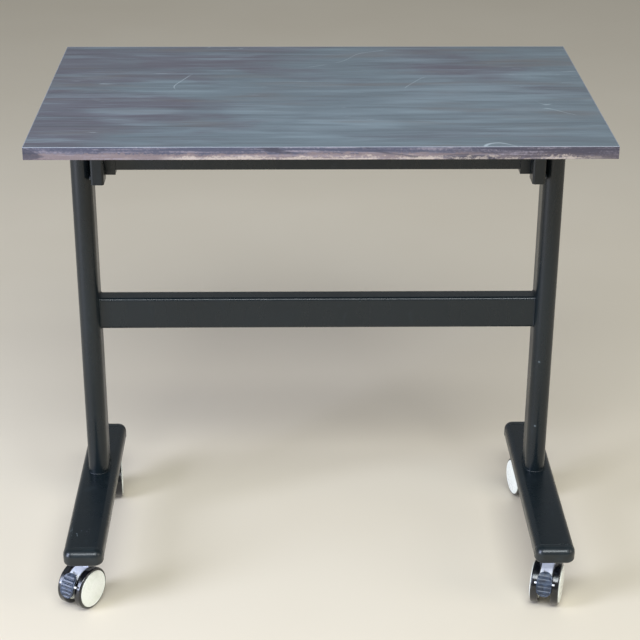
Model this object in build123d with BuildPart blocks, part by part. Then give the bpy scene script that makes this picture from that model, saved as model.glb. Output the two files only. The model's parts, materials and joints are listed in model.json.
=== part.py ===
from build123d import *
from math import cos, radians, sin, sqrt
import os

# Height adjustable desk on castors.  Millimetres, +Z up, +X to the right as seen from the
# front, front towards -Y.  The origin is on the floor, in the middle of the overall footprint.

# ---- driving dimensions ---------------------------------------------------------------
DESK_WIDTH = 800.0
DESK_DEPTH = 500.0
DESK_HEIGHT = 755.0                # top surface, with the columns pushed right in
DESK_THICKNESS = 18.0
LAMINATE = 0.8
BANDING = 1.0

COLUMN_SPACING = 714.0             # between the two column axes
COLUMN_Y = 20.0
COLUMN_WIDTH = 32.0                # flat oval tube, long side front to back
COLUMN_DEPTH = 60.0
COLUMN_WALL = 1.5
COLUMN_HEAD_Z = 690.0
COLUMN_PLATE = 6.0                 # welded bottom plate, drilled for two bolts
BASE_BOLT_RADIUS = 4.0
BASE_BOLT_PITCH = 30.0
BASE_BOLT_HEAD_RADIUS = 7.0
BASE_BOLT_HEAD = 5.0
LINER_WALL = 1.7
LINER_LENGTH = 60.0
LINER_LIP = 3.0
INNER_CLEARANCE = 0.3
INNER_WALL = 1.5
INNER_BOTTOM_Z = 180.0

FOOT_WIDTH = 60.0
FOOT_HEIGHT = 25.0
FOOT_BOTTOM_Z = 89.0
FOOT_FRONT_Y = -245.0
FOOT_REAR_Y = 172.0
FOOT_WALL = 2.0
FOOT_EDGE = 11.0                   # radius of the upper long edges, and of the caps' upper rims
FOOT_UNDER_EDGE = 5.0              # the same below
CAP_LENGTH = 16.5
CAP_CORNER = 14.0                  # radius of the cap in plan
CAP_SPIGOT = 12.0
CAP_FIT = 0.2                      # between the spigot and the inside of the tube
STEM_BOSS_RADIUS = 9.0
COLUMN_BOSS_RADIUS = 7.0

CROSSBAR_HEIGHT = 52.0
CROSSBAR_DEPTH = 30.0
CROSSBAR_MID_Z = 394.0
CROSSBAR_EDGE = 5.0
TUBE_WALL = 2.0

BRACKET_GAP = 1.0                  # between column and bracket, filled by the welded bosses
BRACKET_WIDTH = 19.5
BRACKET_FRONT_Y = -26.0
BRACKET_REAR_Y = 35.0
BRACKET_PLATE = 4.0                # thickness of the part that lies along the column
BRACKET_BOTTOM_Z = 619.0
BRACKET_TOP_Z = 689.0
BRACKET_WALL = 3.0
BRACKET_EDGE = 4.0
RAIL_HEIGHT = 40.0
RAIL_DEPTH = 26.0
RAIL_EDGE = 2.5
RAIL_BOTTOM_Z = 631.0
SADDLE_LENGTH = 15.0
SADDLE_BOTTOM = 6.5
SADDLE_SIDE = 2.0
BOSS_RADIUS = 5.8
BOSS_Z = 625.2
BOSS_PITCH = 16.0
BOLT_RADIUS = 3.0
BOLT_HEAD_RADIUS = 5.0
BOLT_HEAD_LENGTH = 5.0
BOLT_SOCKET = 2.5                  # corner radius of the hexagon socket
RIVET_Y = -16.0                    # rivet head on the outside of each bracket
RIVET_Z = 628.0
RIVET_RADIUS = 4.0
RIVET_HEIGHT = 2.5
CLAMP_Z = 680.0
CLAMP_RADIUS = 4.0
CLAMP_HOLE_RADIUS = 4.5
CLAMP_HEAD_RADIUS = 6.5
CLAMP_HEAD_LENGTH = 7.0
CLAMP_HEAD_GAP = 0.3
CLAMP_CHAMFER = 0.6
CLAMP_SOCKET = 3.4
CLAMP_TIP_GAP = 0.05
SOCKET_DEPTH = 3.0

BEARER_WIDTH = 40.0
BEARER_HEIGHT = 20.0
BEARER_FRONT_Y = -166.0
BEARER_REAR_Y = 206.0
BEARER_WALL = 2.5
BEARER_EDGE = 4.0
SCREW_STATIONS = (-146.0, -66.0, 106.0, 186.0)
SCREW_RADIUS = 2.5
SCREW_HEAD_RADIUS = 4.5
SCREW_HEAD_LENGTH = 3.0
SCREW_SOCKET = 1.6
SCREW_ACCESS_RADIUS = 6.0

WHEEL_RADIUS = 33.0
CASTOR_TRAIL = 16.0                # from the swivel axis to the axle
FRONT_CASTOR_INSET = 52.0          # from the end of the foot to the swivel axis
REAR_CASTOR_INSET = 38.0
HOUSING_HALF = 9.0
HOUSING_ARCH = 31.5
HOUSING_ARCH_FROM = 38.0           # the arch's angles, from the front of the castor upwards
HOUSING_ARCH_TURN = 112.0
HOUSING_BELLY = ((-22.0, -2.0), (-8.0, -9.0), (8.0, -9.0), (17.0, 6.0))
WHEEL_INNER = 9.6                  # inner face of a wheel, from the middle of the castor
TYRE_OUTER = 21.6
TYRE_INSET = 0.2                   # tyre behind the hub's inner face
TYRE_SHOULDER = 2.5
HUB_OUTER = 24.0
HUB_RIM = 0.8                      # straight rim of the disc, outside the tyre
HUB_CORE_RADIUS = 26.0
HUB_DISC_RADIUS = 29.0
AXLE_RADIUS = 3.0
AXLE_HALF = 20.0
AXLE_END_GAP = 0.3
AXLE_CHAMFER = 0.5
RUNNING = 0.06                     # radial clearance of every running fit
NECK_RADIUS = 14.0
NECK_TOP_Z = 78.0
NECK_HEIGHT = 9.0
STEM_RADIUS = 5.0
STEM_PIN_DEPTH = 16.0              # of the swivel pin below the top of the neck
COLLAR_RADIUS = 13.0
NECK_CHAMFER = 1.2
COLLAR_GAP = 0.6                   # between neck and collar, so that the castor swivels
PEDAL_PIVOT_RADIUS = 27.0
PEDAL_PIVOT_ANGLE = 55.0
PEDAL_INNER = 34.6
PEDAL_OUTER = 38.6
PEDAL_LOW = -4.5
PEDAL_HIGH = 57.0
PEDAL_WIDTH = 23.5
PEDAL_PIN_RADIUS = 1.5
PEDAL_PIN_GAP = 0.4                # each end of the pin, inside the housing's side
PEDAL_SPARE = 8.0                  # degrees of arc past each end, cut off by the outline
PEDAL_OVERRUN = 2.0
LUG_RADIUS = 3.4
LUG_ROOT = 1.0                     # how deep the lug runs into the pedal
LUG_FROM = 43.0                    # the lug's root on the pedal, degrees from forward
LUG_TO = 53.0
LUG_HALF = 4.0
SLOT_HALF = 4.5
SLOT_FROM = 11.5                   # the slot starts this far in front of the axle
SLOT_LENGTH = 42.0
SLOT_MID = 16.0
SLOT_HEIGHT = 60.0

# ---- worked out from them --------------------------------------------------------------
UNDERSIDE_Z = DESK_HEIGHT - DESK_THICKNESS
FOOT_TOP_Z = FOOT_BOTTOM_Z + FOOT_HEIGHT
COLUMN_X = COLUMN_SPACING / 2
COLUMN_FLAT_X = COLUMN_X - COLUMN_WIDTH / 2
BRACKET_X = COLUMN_FLAT_X - BRACKET_GAP
BRACKET_INNER_X = BRACKET_X - BRACKET_WIDTH
PLATE_INNER_X = BRACKET_X - BRACKET_PLATE
RAIL_FRONT_Y = COLUMN_Y - RAIL_DEPTH / 2
BEARER_Z = UNDERSIDE_Z - BEARER_HEIGHT
PIVOT_U = PEDAL_PIVOT_RADIUS * cos(radians(PEDAL_PIVOT_ANGLE))
PIVOT_V = PEDAL_PIVOT_RADIUS * sin(radians(PEDAL_PIVOT_ANGLE))
SIDES = (("left", -1), ("right", 1))
FRONT_STEM_Y = FOOT_FRONT_Y + FRONT_CASTOR_INSET
REAR_STEM_Y = FOOT_REAR_Y - REAR_CASTOR_INSET

# name, x, y and heading of each castor; the heading points from the swivel axis to the
# axle and is the compass angle from +X
CASTORS = (
    ("castor_front_left", -COLUMN_X, FRONT_STEM_Y, -122.0),
    ("castor_front_right", COLUMN_X, FRONT_STEM_Y, -107.0),
    ("castor_rear_left", -COLUMN_X, REAR_STEM_Y, -84.0),
    ("castor_rear_right", COLUMN_X, REAR_STEM_Y, -78.0),
)

os.makedirs("parts", exist_ok=True)


def save(builder, name):
    """Label a finished piece and write it as its own STEP file."""
    builder.part.label = name
    export_step(builder.part, "parts/" + name + ".step")


def polar(radius, angle):
    """A point at this radius and angle in degrees."""
    return (radius * cos(radians(angle)), radius * sin(radians(angle)))


# ---- desktop ---------------------------------------------------------------------------
def make_desktop():
    """A core board, a laminate sheet on it, and banding round its four edges."""
    middle = (0, 0, UNDERSIDE_Z)
    core_width = DESK_WIDTH - 2 * BANDING
    core_depth = DESK_DEPTH - 2 * BANDING
    core_height = DESK_THICKNESS - LAMINATE
    with BuildPart() as core:
        with BuildSketch(Plane(middle)):
            Rectangle(core_width, core_depth)
        extrude(amount=core_height)
    save(core, "desktop_core")

    with BuildPart() as laminate:
        with BuildSketch(Plane(middle).offset(core_height)):
            Rectangle(core_width, core_depth)
        extrude(amount=LAMINATE)
    save(laminate, "desktop_laminate")

    with BuildPart() as banding:
        with BuildSketch(Plane(middle)):
            with Locations((0, core_depth / 2 + BANDING / 2), (0, -core_depth / 2 - BANDING / 2)):
                Rectangle(core_width, BANDING)
        extrude(amount=DESK_THICKNESS)
        with BuildSketch(Plane(middle)):
            with Locations((core_width / 2 + BANDING / 2, 0), (-core_width / 2 - BANDING / 2, 0)):
                Rectangle(BANDING, DESK_DEPTH)
        extrude(amount=DESK_THICKNESS)
    save(banding, "edge_banding")


# ---- lifting frame ---------------------------------------------------------------------
def oval(width, depth):
    """Flat oval section with its long side front to back."""
    SlotOverall(depth, width, rotation=90)


def inward(sign, x, z):
    """Plane across one side of the desk at this distance and height, facing its middle."""
    return Plane((sign * x, COLUMN_Y, z), x_dir=(0, 1, 0), z_dir=(-sign, 0, 0))


def make_inner_tube(side, sign):
    """The tube that slides in the column, welded to the bearer at its top."""
    width = COLUMN_WIDTH - 2 * (COLUMN_WALL + LINER_WALL + INNER_CLEARANCE)
    depth = COLUMN_DEPTH - 2 * (COLUMN_WALL + LINER_WALL + INNER_CLEARANCE)
    with BuildPart() as tube:
        with BuildSketch(Plane((sign * COLUMN_X, COLUMN_Y, INNER_BOTTOM_Z))):
            oval(width, depth)
            with BuildSketch(mode=Mode.PRIVATE) as bore:
                oval(width - 2 * INNER_WALL, depth - 2 * INNER_WALL)
            add(bore.sketch, mode=Mode.SUBTRACT)
        extrude(amount=BEARER_Z - INNER_BOTTOM_Z)
    save(tube, "inner_tube_" + side)


def make_bearer(side, sign):
    """Closed box tube under the desktop, with access holes below its screw holes."""
    length = BEARER_REAR_Y - BEARER_FRONT_Y
    mid_y = (BEARER_REAR_Y + BEARER_FRONT_Y) / 2
    with BuildPart() as bearer:
        with BuildSketch(Plane((sign * COLUMN_X, mid_y, BEARER_Z))):
            RectangleRounded(BEARER_WIDTH, length, BEARER_EDGE)
        extrude(amount=BEARER_HEIGHT)
        with BuildSketch(Plane((sign * COLUMN_X, mid_y, BEARER_Z + BEARER_WALL))):
            RectangleRounded(BEARER_WIDTH - 2 * BEARER_WALL, length - 2 * BEARER_WALL,
                             BEARER_EDGE - BEARER_WALL)
        extrude(amount=BEARER_HEIGHT - 2 * BEARER_WALL, mode=Mode.SUBTRACT)
        with BuildSketch(Plane((sign * COLUMN_X, 0, BEARER_Z))):
            for station in SCREW_STATIONS:
                with Locations((0, station)):
                    Circle(SCREW_ACCESS_RADIUS)
        extrude(amount=BEARER_WALL, mode=Mode.SUBTRACT)
        with BuildSketch(Plane((sign * COLUMN_X, 0, UNDERSIDE_Z - BEARER_WALL))):
            for station in SCREW_STATIONS:
                with Locations((0, station)):
                    Circle(SCREW_RADIUS)
        extrude(amount=BEARER_WALL, mode=Mode.SUBTRACT)
    save(bearer, "bearer_" + side)


def make_bearer_screws():
    """Socket screws, each up through a bearer and stopping at the desktop's underside."""
    head_z = UNDERSIDE_Z - BEARER_WALL - SCREW_HEAD_LENGTH
    with BuildPart() as screws:
        for _, sign in SIDES:
            with BuildSketch(Plane((sign * COLUMN_X, 0, head_z))):
                for station in SCREW_STATIONS:
                    with Locations((0, station)):
                        Circle(SCREW_HEAD_RADIUS)
            extrude(amount=SCREW_HEAD_LENGTH)
            with BuildSketch(Plane((sign * COLUMN_X, 0, head_z))):
                for station in SCREW_STATIONS:
                    with Locations((0, station)):
                        RegularPolygon(SCREW_SOCKET, 6)
            extrude(amount=SCREW_HEAD_LENGTH / 2, mode=Mode.SUBTRACT)
            with BuildSketch(Plane((sign * COLUMN_X, 0, UNDERSIDE_Z - BEARER_WALL))):
                for station in SCREW_STATIONS:
                    with Locations((0, station)):
                        Circle(SCREW_RADIUS)
            extrude(amount=BEARER_WALL)
    save(screws, "bearer_screws")


# ---- columns ---------------------------------------------------------------------------
def make_column(side, sign):
    """Outer flat oval tube with a welded bottom plate and a hole for the clamp screw."""
    with BuildPart() as column:
        with BuildSketch(Plane((sign * COLUMN_X, COLUMN_Y, FOOT_TOP_Z))):
            oval(COLUMN_WIDTH, COLUMN_DEPTH)
        extrude(amount=COLUMN_HEAD_Z - FOOT_TOP_Z)
        with BuildSketch(Plane((sign * COLUMN_X, COLUMN_Y, FOOT_TOP_Z + COLUMN_PLATE))):
            oval(COLUMN_WIDTH - 2 * COLUMN_WALL, COLUMN_DEPTH - 2 * COLUMN_WALL)
        extrude(amount=COLUMN_HEAD_Z, mode=Mode.SUBTRACT)
        with BuildSketch(Plane((sign * COLUMN_X, COLUMN_Y, FOOT_TOP_Z))):
            with GridLocations(0, BASE_BOLT_PITCH, 1, 2):
                Circle(BASE_BOLT_RADIUS)
        extrude(amount=COLUMN_PLATE, mode=Mode.SUBTRACT)
        with BuildSketch(inward(sign, COLUMN_X, CLAMP_Z)):
            Circle(CLAMP_HOLE_RADIUS)
        extrude(amount=COLUMN_WIDTH, mode=Mode.SUBTRACT)
        with BuildSketch(inward(sign, COLUMN_X, BOSS_Z)):
            with GridLocations(BOSS_PITCH, 0, 2, 1):
                Circle(BOLT_RADIUS)
        extrude(amount=COLUMN_WIDTH, mode=Mode.SUBTRACT)
    save(column, "column_" + side)


def make_liner(side, sign):
    """Plastic glide bush pressed into the column's head."""
    outer_width = COLUMN_WIDTH - 2 * COLUMN_WALL
    outer_depth = COLUMN_DEPTH - 2 * COLUMN_WALL
    with BuildPart() as liner:
        with BuildSketch(Plane((sign * COLUMN_X, COLUMN_Y, COLUMN_HEAD_Z - LINER_LENGTH))):
            oval(outer_width, outer_depth)
        extrude(amount=LINER_LENGTH)
        with BuildSketch(Plane((sign * COLUMN_X, COLUMN_Y, COLUMN_HEAD_Z))):
            oval(COLUMN_WIDTH, COLUMN_DEPTH)
        extrude(amount=LINER_LIP)
        chamfer(liner.edges().group_by(Axis.Z)[-1], 1.0)
        with BuildSketch(Plane((sign * COLUMN_X, COLUMN_Y, COLUMN_HEAD_Z - LINER_LENGTH))):
            oval(outer_width - 2 * LINER_WALL, outer_depth - 2 * LINER_WALL)
        extrude(amount=LINER_LENGTH + LINER_LIP, mode=Mode.SUBTRACT)
        with BuildSketch(inward(sign, COLUMN_X, CLAMP_Z)):
            Circle(CLAMP_HOLE_RADIUS)
        extrude(amount=COLUMN_WIDTH, mode=Mode.SUBTRACT)
    save(liner, "column_liner_" + side)


# ---- feet ------------------------------------------------------------------------------
def foot_section(inset):
    """The foot's outline, rounder above than below, this far in from its outside."""
    with BuildSketch(mode=Mode.PRIVATE) as section:
        Rectangle(FOOT_WIDTH - 2 * inset, FOOT_HEIGHT - 2 * inset)
        fillet(section.vertices().group_by(Axis.Y)[-1], FOOT_EDGE - inset)
        fillet(section.vertices().group_by(Axis.Y)[0], FOOT_UNDER_EDGE - inset)
    return section.sketch


def make_foot(side, sign):
    """Flat tube with bosses for the castor stems and holes for the column bolts."""
    tube_front = FOOT_FRONT_Y + CAP_LENGTH
    length = FOOT_REAR_Y - CAP_LENGTH - tube_front
    end_plane = Plane((sign * COLUMN_X, tube_front, FOOT_BOTTOM_Z + FOOT_HEIGHT / 2),
                      x_dir=(-1, 0, 0), z_dir=(0, 1, 0))
    with BuildPart() as foot:
        with BuildSketch(end_plane):
            add(foot_section(0))
            add(foot_section(FOOT_WALL), mode=Mode.SUBTRACT)
        extrude(amount=length)
        with BuildSketch(Plane((sign * COLUMN_X, 0, FOOT_BOTTOM_Z))):
            with Locations((0, FRONT_STEM_Y), (0, REAR_STEM_Y)):
                Circle(STEM_BOSS_RADIUS)
            with Locations((0, COLUMN_Y - BASE_BOLT_PITCH / 2), (0, COLUMN_Y + BASE_BOLT_PITCH / 2)):
                Circle(COLUMN_BOSS_RADIUS)
        extrude(amount=FOOT_HEIGHT - FOOT_WALL / 2)
        with BuildSketch(Plane((sign * COLUMN_X, 0, FOOT_BOTTOM_Z))):
            with Locations((0, FRONT_STEM_Y), (0, REAR_STEM_Y)):
                Circle(STEM_RADIUS)
        extrude(amount=FOOT_HEIGHT - FOOT_WALL, mode=Mode.SUBTRACT)
        with BuildSketch(Plane((sign * COLUMN_X, COLUMN_Y, FOOT_BOTTOM_Z))):
            with GridLocations(0, BASE_BOLT_PITCH, 1, 2):
                Circle(BASE_BOLT_RADIUS)
        extrude(amount=FOOT_HEIGHT, mode=Mode.SUBTRACT)
    save(foot, "foot_" + side)


def make_foot_cap(name, x, end_y, outward):
    """Soap-shaped cap that closes one end of a foot; outward is -1 at the front, +1 behind."""
    seat_y = end_y - outward * CAP_LENGTH
    face = Plane((x, seat_y, FOOT_BOTTOM_Z + FOOT_HEIGHT / 2), x_dir=(-outward, 0, 0),
                 z_dir=(0, outward, 0))
    inside = FOOT_WALL + CAP_FIT
    with BuildPart() as cap:
        with BuildSketch(Plane((x, seat_y + outward * CAP_LENGTH / 2, FOOT_BOTTOM_Z))) as plan:
            Rectangle(FOOT_WIDTH, CAP_LENGTH)
            fillet(plan.vertices().group_by(Axis.Y)[0 if outward < 0 else -1], CAP_CORNER)
        extrude(amount=FOOT_HEIGHT)
        for level, radius in ((-1, FOOT_EDGE), (0, FOOT_UNDER_EDGE)):
            rims = cap.edges().group_by(Axis.Z)[level]
            fillet(rims.filter_by(lambda edge: abs(edge.center().Y - seat_y) > CAP_FIT), radius)
        with BuildSketch(face):
            RectangleRounded(FOOT_WIDTH - 2 * inside, FOOT_HEIGHT - 2 * inside, FOOT_EDGE - inside)
        extrude(amount=-CAP_SPIGOT)
    save(cap, name)


def make_base_bolts():
    """Bolts up through the feet into the columns' bottom plates."""
    with BuildPart() as bolts:
        for _, sign in SIDES:
            with BuildSketch(Plane((sign * COLUMN_X, COLUMN_Y, FOOT_BOTTOM_Z))):
                with GridLocations(0, BASE_BOLT_PITCH, 1, 2):
                    Circle(BASE_BOLT_RADIUS)
            extrude(amount=FOOT_HEIGHT + COLUMN_PLATE)
            with BuildSketch(Plane((sign * COLUMN_X, COLUMN_Y, FOOT_BOTTOM_Z - BASE_BOLT_HEAD))):
                with GridLocations(0, BASE_BOLT_PITCH, 1, 2):
                    Circle(BASE_BOLT_HEAD_RADIUS)
            extrude(amount=BASE_BOLT_HEAD)
            with BuildSketch(Plane((sign * COLUMN_X, COLUMN_Y, FOOT_BOTTOM_Z - BASE_BOLT_HEAD))):
                with GridLocations(0, BASE_BOLT_PITCH, 1, 2):
                    RegularPolygon(BOLT_SOCKET, 6)
            extrude(amount=SOCKET_DEPTH, mode=Mode.SUBTRACT)
    save(bolts, "column_base_bolts")


# ---- rails between the columns -----------------------------------------------------------
def make_crossbar():
    """Rectangular tube with rounded edges, welded between the columns' flat sides."""
    end_plane = Plane((-COLUMN_FLAT_X, COLUMN_Y, CROSSBAR_MID_Z), x_dir=(0, 1, 0), z_dir=(1, 0, 0))
    with BuildPart() as crossbar:
        with BuildSketch(end_plane):
            RectangleRounded(CROSSBAR_DEPTH, CROSSBAR_HEIGHT, CROSSBAR_EDGE)
            RectangleRounded(CROSSBAR_DEPTH - 2 * TUBE_WALL, CROSSBAR_HEIGHT - 2 * TUBE_WALL,
                             CROSSBAR_EDGE - TUBE_WALL, mode=Mode.SUBTRACT)
        extrude(amount=2 * COLUMN_FLAT_X)
    save(crossbar, "crossbar")


def make_upper_rail():
    """Rectangular tube between the brackets' plates, just behind their boxes."""
    end_plane = Plane((-PLATE_INNER_X, COLUMN_Y, RAIL_BOTTOM_Z + RAIL_HEIGHT / 2),
                      x_dir=(0, 1, 0), z_dir=(1, 0, 0))
    with BuildPart() as rail:
        with BuildSketch(end_plane):
            RectangleRounded(RAIL_DEPTH, RAIL_HEIGHT, RAIL_EDGE)
            Rectangle(RAIL_DEPTH - 2 * TUBE_WALL, RAIL_HEIGHT - 2 * TUBE_WALL, mode=Mode.SUBTRACT)
        extrude(amount=2 * PLATE_INNER_X)
    save(rail, "upper_rail")


def make_rail_saddles():
    """A U-shaped saddle round each end of the upper rail, welded to it beside the bracket."""
    outer = RAIL_DEPTH + 2 * SADDLE_SIDE
    height = RAIL_HEIGHT + SADDLE_BOTTOM
    with BuildPart() as saddles:
        for _, sign in SIDES:
            end_plane = Plane((sign * BRACKET_INNER_X, COLUMN_Y, RAIL_BOTTOM_Z),
                              x_dir=(0, 1, 0), z_dir=(1, 0, 0))
            with BuildSketch(end_plane):
                with Locations((0, height / 2 - SADDLE_BOTTOM)):
                    Rectangle(outer, height)
                with Locations((0, RAIL_HEIGHT / 2)):
                    Rectangle(RAIL_DEPTH, RAIL_HEIGHT, mode=Mode.SUBTRACT)
            extrude(amount=-sign * SADDLE_LENGTH)
    save(saddles, "rail_saddles")


def make_bracket(side, sign):
    """Box with a rounded front, open behind, and the plate that lies along the column."""
    height = BRACKET_TOP_Z - BRACKET_BOTTOM_Z
    box_x = sign * (BRACKET_X - BRACKET_WIDTH / 2)
    plate_x = sign * (BRACKET_X - BRACKET_PLATE / 2)
    inside = BRACKET_WIDTH - 2 * BRACKET_WALL
    box_depth = RAIL_FRONT_Y - BRACKET_FRONT_Y
    pocket_depth = box_depth - BRACKET_WALL
    with BuildPart() as bracket:
        with BuildSketch(Plane((box_x, BRACKET_FRONT_Y + box_depth / 2, BRACKET_BOTTOM_Z))):
            Rectangle(BRACKET_WIDTH, box_depth)
        extrude(amount=height)
        fillet(bracket.edges().filter_by(Axis.Z).group_by(Axis.Y)[0], BRACKET_EDGE)
        with BuildSketch(Plane((plate_x, (BRACKET_FRONT_Y + BRACKET_REAR_Y) / 2 + BRACKET_EDGE,
                                BRACKET_BOTTOM_Z))):
            Rectangle(BRACKET_PLATE, BRACKET_REAR_Y - BRACKET_FRONT_Y - 2 * BRACKET_EDGE)
        extrude(amount=height)
        with BuildSketch(Plane((box_x, RAIL_FRONT_Y - pocket_depth / 2,
                                BRACKET_BOTTOM_Z + BRACKET_WALL))):
            Rectangle(inside, pocket_depth)
        extrude(amount=height - 2 * BRACKET_WALL, mode=Mode.SUBTRACT)
        with BuildSketch(inward(sign, BRACKET_X, CLAMP_Z)):
            Circle(CLAMP_RADIUS + RUNNING)
        extrude(amount=BRACKET_PLATE, mode=Mode.SUBTRACT)
        with BuildSketch(inward(sign, BRACKET_X, BOSS_Z)):
            with GridLocations(BOSS_PITCH, 0, 2, 1):
                Circle(BOLT_RADIUS)
        extrude(amount=BRACKET_PLATE, mode=Mode.SUBTRACT)
    save(bracket, "bracket_" + side)


def make_bosses():
    """Round pads welded to the columns' inner flats; they space the brackets off."""
    with BuildPart() as bosses:
        for _, sign in SIDES:
            with BuildSketch(inward(sign, COLUMN_FLAT_X, BOSS_Z)):
                with GridLocations(BOSS_PITCH, 0, 2, 1):
                    Circle(BOSS_RADIUS)
                    Circle(BOLT_RADIUS, mode=Mode.SUBTRACT)
            extrude(amount=BRACKET_GAP)
    save(bosses, "bracket_bosses")


def make_bracket_bolts():
    """Bolts from the brackets' plates into the column walls, and a rivet in each box."""
    with BuildPart() as bolts:
        for _, sign in SIDES:
            seat = inward(sign, PLATE_INNER_X, BOSS_Z)
            with BuildSketch(seat):
                with GridLocations(BOSS_PITCH, 0, 2, 1):
                    Circle(BOLT_RADIUS)
            extrude(amount=-(BRACKET_PLATE + BRACKET_GAP + COLUMN_WALL))
            with BuildSketch(seat):
                with GridLocations(BOSS_PITCH, 0, 2, 1):
                    Circle(BOLT_HEAD_RADIUS)
            extrude(amount=BOLT_HEAD_LENGTH)
            with BuildSketch(seat.offset(BOLT_HEAD_LENGTH)):
                with GridLocations(BOSS_PITCH, 0, 2, 1):
                    RegularPolygon(BOLT_SOCKET, 6)
            extrude(amount=-SOCKET_DEPTH, mode=Mode.SUBTRACT)
            with BuildSketch(inward(sign, BRACKET_X, RIVET_Z)):
                with Locations((RIVET_Y - COLUMN_Y, 0)):
                    Circle(RIVET_RADIUS)
            extrude(amount=-RIVET_HEIGHT)
    save(bolts, "bracket_bolts")


def make_clamp_screw(side, sign):
    """Socket head screw through bracket and column wall that presses on the inner tube."""
    tip_x = COLUMN_FLAT_X + COLUMN_WALL + LINER_WALL + CLAMP_TIP_GAP
    head_x = PLATE_INNER_X - CLAMP_HEAD_GAP
    seat = inward(sign, head_x, CLAMP_Z)
    with BuildPart() as screw:
        with BuildSketch(seat):
            Circle(CLAMP_RADIUS)
        extrude(amount=head_x - tip_x)
        with BuildSketch(seat):
            Circle(CLAMP_HEAD_RADIUS)
        extrude(amount=CLAMP_HEAD_LENGTH)
        chamfer(screw.edges().sort_by(Axis.X)[0 if sign > 0 else -1], CLAMP_CHAMFER)
        with BuildSketch(seat.offset(CLAMP_HEAD_LENGTH)):
            RegularPolygon(CLAMP_SOCKET, 6)
        extrude(amount=-SOCKET_DEPTH, mode=Mode.SUBTRACT)
    save(screw, "clamp_screw_" + side)


# ---- castors ---------------------------------------------------------------------------
def castor_planes(x, y, heading):
    """The castor's own planes: its side view with u forward and v up, and its axle line."""
    forward = Vector(cos(radians(heading)), sin(radians(heading)), 0)
    up = Vector(0, 0, 1)
    axle = forward.cross(up)
    centre = Vector(x, y, WHEEL_RADIUS) + forward * CASTOR_TRAIL
    side_view = Plane(origin=centre, x_dir=forward, z_dir=axle)
    section = Plane(origin=centre, x_dir=axle, z_dir=forward * -1)
    return side_view, section, Axis(centre, axle)


def make_castor_stem(name, x, y):
    """Collar against the foot, with a stem up into the foot and a pin down in the housing."""
    with BuildPart() as stem:
        with BuildSketch(Plane((x, y, NECK_TOP_Z + COLLAR_GAP))):
            Circle(COLLAR_RADIUS)
        extrude(amount=FOOT_BOTTOM_Z - NECK_TOP_Z - COLLAR_GAP)
        chamfer(stem.edges().group_by(Axis.Z)[0], NECK_CHAMFER)
        with BuildSketch(Plane((x, y, FOOT_BOTTOM_Z))):
            Circle(STEM_RADIUS)
        extrude(amount=FOOT_HEIGHT - FOOT_WALL)
        with BuildSketch(Plane((x, y, NECK_TOP_Z - STEM_PIN_DEPTH))):
            Circle(STEM_RADIUS)
        extrude(amount=FOOT_BOTTOM_Z - NECK_TOP_Z + STEM_PIN_DEPTH)
    save(stem, name + "_stem")


def make_castor_housing(name, x, y, side_view):
    """Arched body between the wheels, slotted for the pedal, with the swivel neck on top."""
    lift = NECK_TOP_Z - WHEEL_RADIUS
    pin_top = lift - STEM_PIN_DEPTH
    with BuildPart() as housing:
        with BuildSketch(side_view):
            with BuildLine():
                crown = CenterArc((0, 0), HOUSING_ARCH, HOUSING_ARCH_FROM, HOUSING_ARCH_TURN)
                Polyline(crown @ 1, *HOUSING_BELLY, crown @ 0)
            make_face()
            with Locations((-CASTOR_TRAIL, (pin_top + lift) / 2)):
                Rectangle(2 * HOUSING_HALF, STEM_PIN_DEPTH)
        extrude(amount=HOUSING_HALF, both=True)
        with BuildSketch(Plane((x, y, NECK_TOP_Z - NECK_HEIGHT))):
            Circle(NECK_RADIUS)
        extrude(amount=NECK_HEIGHT)
        chamfer(housing.edges().group_by(Axis.Z)[-1], NECK_CHAMFER)
        with BuildSketch(Plane((x, y, NECK_TOP_Z))):
            Circle(STEM_RADIUS + RUNNING)
        extrude(amount=-(STEM_PIN_DEPTH + COLLAR_GAP), mode=Mode.SUBTRACT)
        with BuildSketch(side_view):
            Circle(AXLE_RADIUS)
            with Locations((PIVOT_U, PIVOT_V)):
                Circle(PEDAL_PIN_RADIUS + RUNNING)
        extrude(amount=HOUSING_HALF, both=True, mode=Mode.SUBTRACT)
        with BuildSketch(side_view):
            with Locations((SLOT_FROM + SLOT_LENGTH / 2, SLOT_MID)):
                Rectangle(SLOT_LENGTH, SLOT_HEIGHT)
        extrude(amount=SLOT_HALF, both=True, mode=Mode.SUBTRACT)
    save(housing, name + "_housing")


def make_castor_axle(name, side_view):
    """Plain axle through the housing; each end carries a wheel."""
    with BuildPart() as axle:
        with BuildSketch(side_view):
            Circle(AXLE_RADIUS)
        extrude(amount=AXLE_HALF, both=True)
        chamfer(axle.edges().filter_by(GeomType.CIRCLE), AXLE_CHAMFER)
    save(axle, name + "_axle")


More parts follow.
